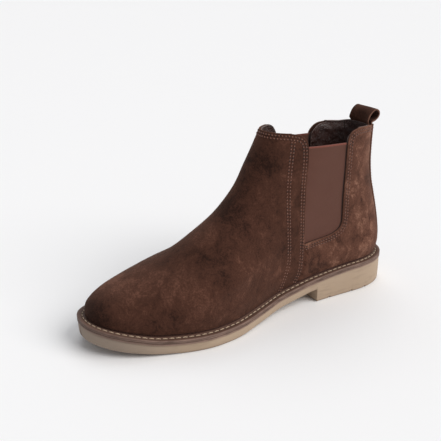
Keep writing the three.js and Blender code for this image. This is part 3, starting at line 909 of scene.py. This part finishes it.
def makeGore(name, side, nodeName):
    rising = np.unique(np.concatenate([np.linspace(0, 1, 120), [0.9993, 0.998, 0.995]]))
    cols = 420
    w = np.linspace(0, 1, cols + 1)
    topLine = np.interp(w, [0, 1], gore["top"][side])
    tt = gore["foot"] + (topLine - gore["foot"])[None] * rising[:, None]
    t = gore["foot"] + (topLine.mean() - gore["foot"]) * rising
    a = side * seamAt(t, monotone([(z, u + 7) for z, u in rows["panelEdge"]]), side)
    b = side * seamAt(t, goreRear, side)
    p = a[:, None] + (b - a)[:, None] * w[None]
    s, n = skin(tt, p), skinNormal(tt, p)
    edge, down, across = edgeDistances(s)
    width = across[:, -1].mean()
    ribs = across[:, -1:] * 0 + w[None] * width
    band = down[-1:] - down
    drop = edgeDrop(edge, 0.45)
    rib = np.cos(2 * math.pi * ribs / gore["ribPitch"]) * gore["ribHeight"] * 0.5 * smooth(1.3, 1.7, band)
    hem = 0.22 * (1 - smooth(1.2, 1.6, band))
    # where the painted shadow falls: next to the quarter's edge, and fainter by the panel's edge
    fromQuarter = s[..., 1] - quarterUpper[side](s[..., 2])
    fromPanel = panelEdge(s[..., 2]) - s[..., 1]
    corner = np.maximum(1 - smooth(0.2, 1.9, fromQuarter), (1 - smooth(0.0, 0.9, fromPanel)) * 0.6)
    wave = softNoise(s, 18.0, 4.0) * 0.35
    outer = s - n * (1.85 + drop - rib - hem - wave)[..., None]
    inner = s - n * (2.95 - wave)[..., None]
    verts, faces = closedSheet(place(outer), place(inner))
    uv = np.stack([ribs.ravel(), down.ravel()], -1) / 1000
    obj = meshObject(name, verts, faces, elasticMaterial, 60,
                     {"band": np.tile(band.ravel(), 2), "corner": np.tile(corner.ravel(), 2)},
                     np.concatenate([uv, uv]))
    fasten(obj, (nodeName,))
    length = down[-1].mean()
    cut = np.linalg.norm(np.cross(np.diff(s, axis=0)[:, :-1], np.diff(s, axis=1)[:-1]), axis=-1).sum()
    return width, length, cut


goreNodes = {"outerGore": (1, "elastic_gore_lateral"), "innerGore": (-1, "elastic_gore_medial")}
for name, (side, nodeName) in goreNodes.items():
    width, length, cut = makeGore(name, side, nodeName)
    print(name, "flat", round(width, 1), "by", round(length, 1), "mm, area", round(cut / 100, 1), "cm2")

# lining

lining = {"depth": 3.3, "thick": 1.0, "edgeRound": 0.4, "swell": 0.5, "heelSeam": 24.0}


def liningInset(s, t):
    # above the elastic the lining comes up against the suede, except over the strap's inner end
    beside = np.maximum(smooth(13.5, 19, np.abs(s[..., 0])), smooth(24, 32, s[..., 1]))
    return lining["depth"] - 1.5 * smooth(0.945, 0.985, t) * beside


def liningSheet(name, startOf, endOf, cols, node, seams):
    swell = lining["swell"]
    tt, s, n = skinGrid(liningLevels, startOf, endOf, spaced(cols, (0.004, 0.012)))
    edge, down, across = edgeDistances(s)
    below = down[-1:] - down
    drop = edgeDrop(edge, lining["edgeRound"])
    groove = 0.22 * np.exp(-(nearSeams(s, seams) / 0.8) ** 2)
    puff = softNoise(s * np.array([1, 1.0, 0.55]), 16.0, 9.0) * swell * smooth(3, 14, below)
    # creases of the thin leather run down and forward from the topline
    slant = s[..., 1] * 0.85 + s[..., 2] * 0.75 + softNoise(s, 12.0, 5.0) * 7
    puff = puff + np.sin(slant) * 0.22 * smooth(6, 11, below) * (0.6 + softNoise(s, 22.0, 2.0))
    inset = liningInset(s, tt)
    puff = puff * smooth(2, 9, below)
    inner = s - n * (inset + lining["thick"] - drop - groove + puff * 0.5 + 0.25 * swell)[..., None]
    outer = s - n * (inset + drop * 0.5)[..., None]
    verts, faces = closedSheet(place(outer), place(inner))
    uv = np.stack([across.ravel(), down.ravel()], -1) / 1000
    attributes = {"edge": np.concatenate([edge.ravel()] * 2), "face": np.ones(edge.size * 2)}
    obj = meshObject(name, verts, faces, liningMaterial, 50, attributes, np.concatenate([uv, uv]))
    fasten(obj, (node,))


liningLevels = np.unique(np.concatenate([
    np.linspace(0.02, 0.3, 24), np.linspace(0.305, 0.36, 24), np.linspace(0.37, 0.85, 40),
    np.linspace(0.86, 1, 60), [0.9985, 0.9965]]))
liningFront = monotone([(z, u + 1.2) for z, u in rows["panelEdge"]])


def liningRear(side):
    # the linings follow the quarter's front edge, a little ahead of it and below
    def edge(z):
        up = np.asarray(z) + 1
        return np.where(up < rows["windowFoot"], panelEdge(up) - 0.3, quarterUpper[side](up)) - 1.2
    return edge


def heelSeamAt(t, side, lap=0.0):
    return seamAt(t, lambda z: 0 * z + lining["heelSeam"] - lap, side)


liningSheet("vampLining", lambda t: -seamAt(t, liningFront, -1), lambda t: seamAt(t, liningFront, 1), 110,
            "vamp_lining", seamRows["panelouter"] + seamRows["panelinner"])
for name, side, nodeName in (("outer", 1, "quarter_lining_lateral"), ("inner", -1, "quarter_lining_medial")):
    liningSheet(name + "QuarterLining", lambda t, side=side: side * seamAt(t, liningRear(side), side),
                lambda t, side=side: side * heelSeamAt(t, side), 40, nodeName, seamRows["quarter" + name])
liningSheet("heelLining", lambda t: heelSeamAt(t, 1, 0.4), lambda t: 2 - heelSeamAt(t, -1, 0.4), 60,
            "heel_lining", seamRows["quarterouter"] + seamRows["quarterinner"])
print("lining made")

# back strap and pull loop

strap = {
    "half": 13.0,
    "thick": 1.5,
    "row": 2.0,  # stitch row, in from the edge
    # middle line of the loop over the collar: forward and up from the collar's back
    "loop": [(0.9, 2.2), (-1.6, 4.0), (-4.0, 6.3), (-5.2, 9.0), (-4.4, 11.8), (-1.7, 13.5), (1.3, 13.0),
             (3.9, 10.6), (4.9, 6.9), (5.1, 3.2)],
}


def stripSkin(v, xs, reach):
    # the strip's columns on the skin at level v
    level = np.full(len(xs), v)
    wide = np.maximum(reach, 0.02)
    p = np.where(xs >= 0, stripAt(level, wide, 1), 2 - stripAt(level, wide, -1))
    p = np.where(np.abs(xs) < 0.3, 1.0, p)
    return skin(level, p), skinNormal(level, p)


def makeStrap():
    half, thick = strap["half"], strap["thick"]
    xs = np.concatenate([[-1, -0.985, -0.95], np.linspace(-0.88, 0.88, 15), [0.95, 0.985, 1]]) * half
    stations = []
    # up the back, outside the quarters
    t = np.linspace(0, 0.995, 90)
    for v in t:
        grow = stripAt(np.full(2, v), half)[0]
        reach = np.abs(skin(np.array([v]), np.array([grow]))[0, 0])
        s, n = stripSkin(v, xs, np.abs(xs) * reach / half)
        stations.append(s + n * (0.3 + thick / 2))
    collar = skin(np.ones(2), np.ones(2))[0]
    rear = stations[-1]
    bow = rear[:, 1] - rear[len(xs) // 2, 1]
    path = np.array([(rear[len(xs) // 2, 1] - collar[1], rear[len(xs) // 2, 2] - collar[2])] + strap["loop"])
    n = len(path)
    fine = []
    for k in np.linspace(0, n - 1, 70)[1:]:
        i = min(int(k), n - 2)
        fine.append(between(path[max(i - 1, 0)], path[i], path[i + 1], path[min(i + 2, n - 1)], k - i))
    # down inside, between quarter and lining
    inside = []
    for v in np.linspace(0.985, 0.9, 14):
        s, n = stripSkin(v, xs, np.abs(xs))
        inside.append(s - n * 2.4)
    front = inside[0]
    bowIn = front[:, 1] - front[len(xs) // 2, 1]
    for j, (u, z) in enumerate(fine):
        f = (j + 1) / len(fine)
        curl = bow * (1 - smooth(0.0, 0.3, f)) + bowIn * smooth(0.72, 1.0, f)
        stations.append(np.stack([xs, collar[1] + u + curl, np.full(len(xs), collar[2] + z)], -1))
    grid = np.array(stations + inside)
    tangent = np.gradient(grid, axis=0)
    cross = np.gradient(grid, axis=1)
    nrm = np.cross(tangent, cross)
    nrm /= np.linalg.norm(nrm, axis=-1, keepdims=True)
    if nrm[10, len(xs) // 2, 1] > 0:
        nrm = -nrm
    edge = np.minimum(half - np.abs(xs), half)
    drop = edgeDrop(edge, 0.5)
    ridge = -0.22 * np.exp(-((np.abs(xs) - (half - strap["row"])) / 0.8) ** 2)
    lie = np.arange(len(grid)) < len(t)
    surface = thick / 2 - drop[None] + np.where(lie[:, None], ridge[None], 0)
    wobble = softNoise(grid, 14.0, 3.0) * 0.25 * (~lie)[:, None]
    outer = grid + nrm * (surface + wobble)[..., None]
    inner = grid - nrm * (thick / 2 - drop[None] * 0.6 - wobble)[..., None]
    verts, faces = closedSheet(place(outer), place(inner))
    count = outer.shape[0] * outer.shape[1]
    edges = np.repeat(edge[None], len(grid), 0)
    near = np.where(lie[:, None], np.abs(edges - strap["row"]), 50.0)
    attributes = {
        "edge": np.tile(edges.ravel(), 2),
        "seam": np.concatenate([near.ravel(), np.full(count, 50.0)]),
        "face": np.ones(count * 2),
        "tone": np.tile(np.where(lie, 0.0, -0.12)[:, None].repeat(len(xs), 1).ravel(), 2),
    }
    obj = meshObject("backStrap", verts, faces, suedeMaterial, 50, attributes)
    low = place(collar + np.array([0, 1.0, 0.2]))
    high = place(collar + np.array([0, 1.0, 7.0]))
    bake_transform(obj)
    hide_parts("back_strip", "pull_loop")
    return grid[:len(t)], nrm[:len(t)], xs


strapGrid, strapNormal, strapAcross = makeStrap()
print("back strap and pull loop made")

# stitches

groups = []
for key, lines in seamLines.items():
    for line in lines:
        slant = stitch["slant"] * (1 if key.endswith("outer") else -1)
        groups += stitchRow(line, 0.1, stitch["length"], stitch["radius"], slant)
for side in (-1, 1):
    c = int(np.abs(strapAcross - side * (strap["half"] - strap["row"])).argmin())
    line = strapGrid[3:, c] + strapNormal[3:, c] * (strap["thick"] / 2 - 0.12)
    points = resample(line, rows["pitch"])
    tangent = np.gradient(points, axis=0)
    tangent /= np.linalg.norm(tangent, axis=1, keepdims=True)
    normals = resample(np.concatenate([line, strapNormal[3:, c]], 1), rows["pitch"])[:, 3:]
    n = min(len(points), len(normals))
    groups.append((points[:n], tangent[:n], normals[:n], stitch["length"], stitch["radius"], 0.0))
stitchesMesh("upperStitches", groups, seamThread)

# the topline rows go right through and show on the lining too
innerRows = []
for key, lines in seamLines.items():
    if key.startswith(("panel", "quarter")):
        for line in lines:
            upperPart = line[line[:, 0] > 0.82]
            innerRows += stitchRow(upperPart, lambda s, t: liningInset(s, t) + 1.05, 1.6, 0.4, 0.25, -1.0)
stitchesMesh("liningStitches", innerRows, liningThread)
print("stitches made")

# bottom

bottom = {
    "weltThick": 2.8,
    "midsoleThick": 2.0,
    "gap": 0.3,
    "heel": 88.0,
    "underside": [(0, 12), (88, 12), (110, 9), (140, 5), (170, 1.3), (190, 0), (222, 0), (245, 1.2),
                  (270, 4.2), (301, 10)],
    "around": 420,
    "notches": (30, 46, 72),
}
around = -1 + 2 * np.arange(bottom["around"]) / bottom["around"]
aroundU = skin(0 * around, around)[:, 1]
aroundReach = weltReach(aroundU)


def ringMesh(name, section, node, extra):
    # section: points (share of the welt's reach, outset, height above the footbed), a closed loop
    loops = []
    for share, outset, height in section:
        s = planPoint(around, share * aroundReach + outset)
        s[:, 2] = footbed(s[:, 1]) + height
        loops.append(s)
    grid = np.array(loops)
    rowsCount, colsCount = grid.shape[:2]
    faces = gridFaces(rowsCount, colsCount, closedCols=True)
    ids = np.arange(rowsCount * colsCount).reshape(rowsCount, colsCount)
    a, b = ids[-1], ids[0]
    faces = np.concatenate([faces, np.stack([a, np.roll(a, -1), np.roll(b, -1), b], -1)])
    verts = place(grid.reshape(-1, 3))
    attributes = {k: np.repeat(np.array(v, float)[:, None], colsCount, 1) for k, v in extra.items()}
    # where the welt and midsole get painted shade at the toe
    attributes["toe"] = smooth(225, 290, grid[..., 1])
    obj = meshObject(name, verts, orient(verts, faces), weltMaterial, 45, attributes)
    fasten(obj, (node,))


weltSection = [
    (0, -8.0, -2.8), (1, -0.5, -2.8), (1, -0.15, -2.7), (1, 0, -2.4), (1, 0.0, -1.75), (1, -0.28, -1.6),
    (1, -0.28, -1.45), (1, 0.0, -1.3), (1, 0, -0.55), (1, -0.15, -0.2), (1, -0.5, 0), (1, -1.2, 0.05),
    (1, -3.2, 0), (1, -3.7, -0.35), (1, -4.3, -0.5), (1, -4.9, -0.35), (1, -5.4, 0), (0, -8.0, 0),
]
# groove: painted shade in the welt's side notch and its stitch channel
ringMesh("welt", weltSection, "welt",
         {"groove": [0, 0, 0, 0, 0, 1, 1, 0, 0, 0, 0, 0, 0, 0.7, 1, 0.7, 0, 0],
          "top": [0, 0, 0, 0, 0, 0, 0, 0, 0, 0.5, 1, 1, 1, 1, 1, 1, 1, 1]})
midTop = -bottom["weltThick"] - bottom["gap"] + 0.12
midLow = midTop - bottom["midsoleThick"]
# groove: painted shade where the midsole meets the welt
ringMesh("midsole", [(0, -12, midLow), (1, -0.4, midLow), (1, -0.1, midLow + 0.12), (1, 0, midLow + 0.5),
                     (1, 0, midTop - 0.5), (1, -0.1, midTop - 0.12), (1, -0.4, midTop), (0, -12, midTop)],
         "midsole",
         {"groove": [0, 0, 0, 0, 0, 0.6, 1, 0], "top": [0] * 8, "pale": [0, 1, 1, 0.4, 0, 0, 0, 0]})

# welt stitches, one by one
weltStitch = {"pitch": 5.4, "length": 4.9, "radius": 0.43, "in": 4.3}
line = planPoint(around, aroundReach - weltStitch["in"])
line[:, 2] = footbed(line[:, 1]) - 0.15
closedLine = np.concatenate([line, line[:1]])
points = resample(closedLine, weltStitch["pitch"])[:-1]
ahead = np.roll(points, -1, 0) - np.roll(points, 1, 0)
ahead /= np.linalg.norm(ahead, axis=1, keepdims=True)
upward = np.tile([0.0, 0.0, 1.0], (len(points), 1))
weltRow = (points, ahead, upward, weltStitch["length"], weltStitch["radius"], 0.0)
stitchesMesh("weltStitches", [weltRow], weltThread, ("welt_thread",))


def makeOutsole():
    top = midLow - bottom["gap"] + 0.12
    under = monotone(bottom["underside"])
    heel = bottom["heel"]
    half = 230
    q = np.linspace(0.004, 0.996, half)
    uOf = planPoint(q, weltReach(skin(0 * q, q)[:, 1]))[:, 1]
    # extra columns on both sides of the heel breast and of every notch
    wanted = [heel + d for d in (-1.2, -0.6, -0.25, -0.08, 0.08, 0.25, 1)]
    wanted += [start + d for start in bottom["notches"] for d in (-0.1, 0.1, 0.3, 2.1, 2.3, 2.5)]
    q = np.unique(np.concatenate([q, np.interp(-np.array(wanted), -uOf, q)]))

    def floorAt(u):
        edge = smooth(heel - 0.12, heel + 0.12, u)
        corner = 0.5 * smooth(heel - 1.2, heel - 0.1, u)
        return (1 - edge) * corner + edge * under(u)

    def notch(u, x):
        cut = np.zeros_like(u)
        for start in bottom["notches"]:
            cut = np.maximum(cut, smooth(start, start + 0.3, u) * (1 - smooth(start + 2.1, start + 2.4, u)))
        return cut * smooth(23, 24.5, np.abs(x)) * 1.3

    def ripple(u, x, halfWidth):
        wave = np.maximum(np.cos(2 * math.pi * u / 8.0), 0) ** 2
        inside = smooth(3.5, 5.0, halfWidth - np.abs(x))
        zone = smooth(118, 126, u) * (1 - smooth(286, 292, u))
        return wave * inside * zone * 0.9

    sides = []
    # profile of the side wall: share of the wall's height from the top, outset
    wall = [(0.0, -1.1), (0.0, -0.75), (0.03, -0.62), (0.2, -0.5), (0.5, -0.5), (0.75, -0.62), (1, -0.9)]
    for sign in (1, -1):
        u0 = skin(0 * q, sign * q)[:, 1]
        reach = weltReach(u0)
        columns = []
        for share, outset in wall:
            s = planPoint(sign * q, reach + outset)
            z0 = footbed(s[:, 1]) + top
            z1 = floorAt(s[:, 1]) + notch(s[:, 1], s[:, 0]) + 1.3
            s[:, 2] = z0 + (z1 - z0) * share
            columns.append(s)
        for outset, height in ((-1.1, 0.75), (-1.6, 0.28), (-2.3, 0.05), (-3.2, 0.0)):
            s = planPoint(sign * q, reach + outset)
            s[:, 2] = floorAt(s[:, 1]) + height + notch(s[:, 1], s[:, 0])
            columns.append(s)
        sides.append(np.array(columns))
    outerSide, innerSide = sides
    across = np.linspace(0, 1, 40)[1:-1]
    a, b = outerSide[-1], innerSide[-1]
    under2 = a[:, None] * (1 - across)[None, :, None] + b[:, None] * across[None, :, None]
    mid = (a[:, None, 0] + b[:, None, 0]) / 2
    halfWidth = np.abs(a[:, None, 0] - b[:, None, 0]) / 2
    flatU, flatX = under2[..., 1], under2[..., 0] - mid
    under2[..., 2] = floorAt(flatU) + notch(flatU, flatX) + ripple(flatU, flatX, halfWidth)
    # cross section loops from the outer top edge, under the sole, to the inner top edge
    section = np.concatenate([outerSide.transpose(1, 0, 2), under2, innerSide[::-1].transpose(1, 0, 2)], 1)
    topLine = section[:, [0, -1]]
    w = np.linspace(0, 1, 10)[1:-1]
    lid = topLine[:, 1][:, None] * (1 - w)[None, :, None] + topLine[:, 0][:, None] * w[None, :, None]
    lid[..., 2] = footbed(lid[..., 1]) + top
    section = np.concatenate([section, lid], 1)
    rowsCount, colsCount = section.shape[:2]
    faces = gridFaces(rowsCount, colsCount, closedCols=True)
    verts = section.reshape(-1, 3)
    # heel and toe ends: one face closes the first and the last section
    ends = [np.arange(colsCount) + r * colsCount for r in (0, rowsCount - 1)]
    v = place(verts)
    quads = [tuple(f) for f in faces]
    a0, b0, c0 = (v[faces[:, i]] for i in range(3))
    if (np.cross(b0 - a0, c0 - a0) * a0).sum() < 0:
        quads = [f[::-1] for f in quads]
        ends = [ends[0], ends[1][::-1]]
    else:
        ends = [ends[0][::-1], ends[1]]
    # the toe attribute carries painted shade at the toe
    obj = meshObject("outsole", v, quads + [tuple(e) for e in ends], soleMaterial, 38,
                     {"rise": verts[:, 2], "toe": smooth(215, 285, verts[:, 1])})
    fasten(obj, ("outsole_unit",))


makeOutsole()


pad = {"front": 92, "inset": 8, "floor": 4.4, "thick": 2.5, "crown": 0.5}
sock = {"inset": 7.0, "thick": 1.0, "overPad": 2.8}
bedCols = np.linspace(0, 1, 41)


def planGrid(q, inset):
    # rows across the foot, inset from the feather line
    a, b = planPoint(q, np.full(len(q), -inset)), planPoint(-q, np.full(len(q), -inset))
    return a[:, None] * (1 - bedCols)[None, :, None] + b[:, None] * bedCols[None, :, None]


def makeSock():
    # sock liner over the foam pad, seen from above through the collar
    grid = planGrid(np.linspace(0.01, 0.99, 120), sock["inset"])
    lift = pad["floor"] + sock["overPad"] * (1 - smooth(93, 118, grid[..., 1]))
    bowl = 0.9 * (np.abs(2 * bedCols - 1) ** 3)[None]
    grid[..., 2] = footbed(grid[..., 1]) + lift
    edge = edgeDistances(grid)[0]
    topSide = grid.copy()
    topSide[..., 2] += sock["thick"] + bowl * 0.3 - 0.35 * np.exp(-(edge / 0.6) ** 2)
    verts, faces = closedSheet(place(topSide), place(grid))
    attributes = {"edge": np.concatenate([edge.ravel() + 2] * 2), "face": np.ones(edge.size * 2)}
    obj = meshObject("sockLiner", verts, faces, liningMaterial, 50, attributes)
    fasten(obj, ("sock_liner",))


makeSock()


def makeHeelPad():
    # foam cushion under the sock liner, crowned, thinner towards its rim
    q = np.linspace(seamAt(np.zeros(1), lambda z: 0 * z + pad["front"], 1)[0], 0.994, 70)
    grid = planGrid(q, pad["inset"])
    grid[..., 2] = footbed(grid[..., 1]) + pad["floor"]
    edge = edgeDistances(grid)[0]
    topSide = grid.copy()
    topSide[..., 2] += pad["thick"] - 0.05 - pad["crown"] * np.exp(-edge / 2.5)
    verts, faces = closedSheet(place(topSide), place(grid))
    obj = meshObject("heelPad", verts, faces, foamMaterial, 50)
    fasten(obj, ("heel_pad",))


# inner CAD pieces get their own finishes

innerFinish = {
    "insole_board": makePlain("fibreBoard", rgb(176, 148, 112), rgb(140, 112, 80), 900.0),
    "cork_filler": makePlain("corkGranules", rgb(176, 128, 78), rgb(96, 62, 36), 420.0, 0.85, 0.0005),
    "steel_shank": makePlain("rolledSteel", rgb(150, 150, 152), rgb(116, 116, 120), 700.0, 0.35, 0.00005,
                             1.0),
    "toe_puff": makePlain("stiffenerSheet", rgb(205, 190, 165), rgb(176, 160, 134), 1100.0),
    "lasting_margin": makePlain("marginSuede", rgb(82, 50, 40), rgb(48, 28, 22), 1400.0, 0.95, 0.0003),
}
innerFinish["heel_counter"] = innerFinish["toe_puff"]
for nodeName, material in innerFinish.items():
    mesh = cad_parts[nodeName].data
    mesh.materials.clear()
    mesh.materials.append(material)
foamMaterial = makePlain("padFoam", rgb(222, 212, 196), rgb(190, 178, 160), 1500.0, 0.9, 0.0003)
makeHeelPad()
print("bottom made")

# floor, light, camera

stage = {
    "floorColour": rgb(250, 250, 251),
    "worldColour": (0.94, 0.95, 0.97),
    "worldStrength": 0.38,
    "keyStrength": 2.15,
    "topStrength": 0.62,
}


def makeFloor():
    n = 40
    ring = [(math.cos(2 * math.pi * i / n) * 30, math.sin(2 * math.pi * i / n) * 30, 0) for i in range(n)]
    mesh = bpy.data.meshes.new("floor")
    mesh.from_pydata(ring, [], [tuple(range(n))])
    s = Shader("paleFloor", Specular_IOR_Level=0.2)
    cloud = s.noise(s.coordinates(), 3.0, 2.0, 0.5)
    s.finish(Base_Color=s.mix(cloud * 0.1, stage["floorColour"], rgb(244, 244, 247)), Roughness=0.75)
    mesh.materials.append(s.material)
    floor = bpy.data.objects.new("floor", mesh)
    bpy.context.scene.collection.objects.link(floor)


makeFloor()

world = bpy.data.worlds.new("studio")
bpy.context.scene.world = world
world.use_nodes = True
background = world.node_tree.nodes["Background"]
background.inputs["Color"].default_value = (*stage["worldColour"], 1)
background.inputs["Strength"].default_value = stage["worldStrength"]


def towards(azimuth, elevation):
    # azimuth 0 is the toe's side, 90 the outer side
    az, el = math.radians(azimuth), math.radians(elevation)
    return Vector((math.sin(az) * math.cos(el), -math.cos(az) * math.cos(el), math.sin(el)))


def sunLight(name, azimuth, elevation, strength, spread, colour):
    data = bpy.data.lights.new(name, "SUN")
    data.energy = strength
    data.angle = math.radians(spread)
    data.color = colour
    obj = bpy.data.objects.new(name, data)
    obj.rotation_euler = towards(azimuth, elevation).to_track_quat("Z", "Y").to_euler()
    bpy.context.scene.collection.objects.link(obj)


sunLight("keyLight", 126, 42, stage["keyStrength"], 45, (1.0, 0.985, 0.96))
sunLight("topLight", 235, 62, stage["topStrength"], 40, (0.98, 0.99, 1.0))

cameraSet = {"azimuth": 59.88, "elevation": 21.45, "distance": 0.6498, "target": (-0.0431, 0.0018, 0.0678),
             "lens": 57.14, "roll": -0.58}


def makeCamera():
    data = bpy.data.cameras.new("camera")
    data.sensor_width = 36
    data.lens = cameraSet["lens"]
    data.clip_start = 0.01
    camera = bpy.data.objects.new("camera", data)
    back = towards(cameraSet["azimuth"], cameraSet["elevation"])
    right = Vector((0, 0, 1)).cross(back).normalized()
    up = back.cross(right)
    r = math.radians(cameraSet["roll"])
    right, up = right * math.cos(r) + up * math.sin(r), up * math.cos(r) - right * math.sin(r)
    spot = Vector(cameraSet["target"]) + back * cameraSet["distance"]
    camera.matrix_world = Matrix((
        (right.x, up.x, back.x, spot.x), (right.y, up.y, back.y, spot.y), (right.z, up.z, back.z, spot.z),
        (0, 0, 0, 1)))
    bpy.context.scene.collection.objects.link(camera)
    bpy.context.scene.camera = camera


makeCamera()
bpy.context.scene.view_settings.view_transform = "Standard"
print("stage set")
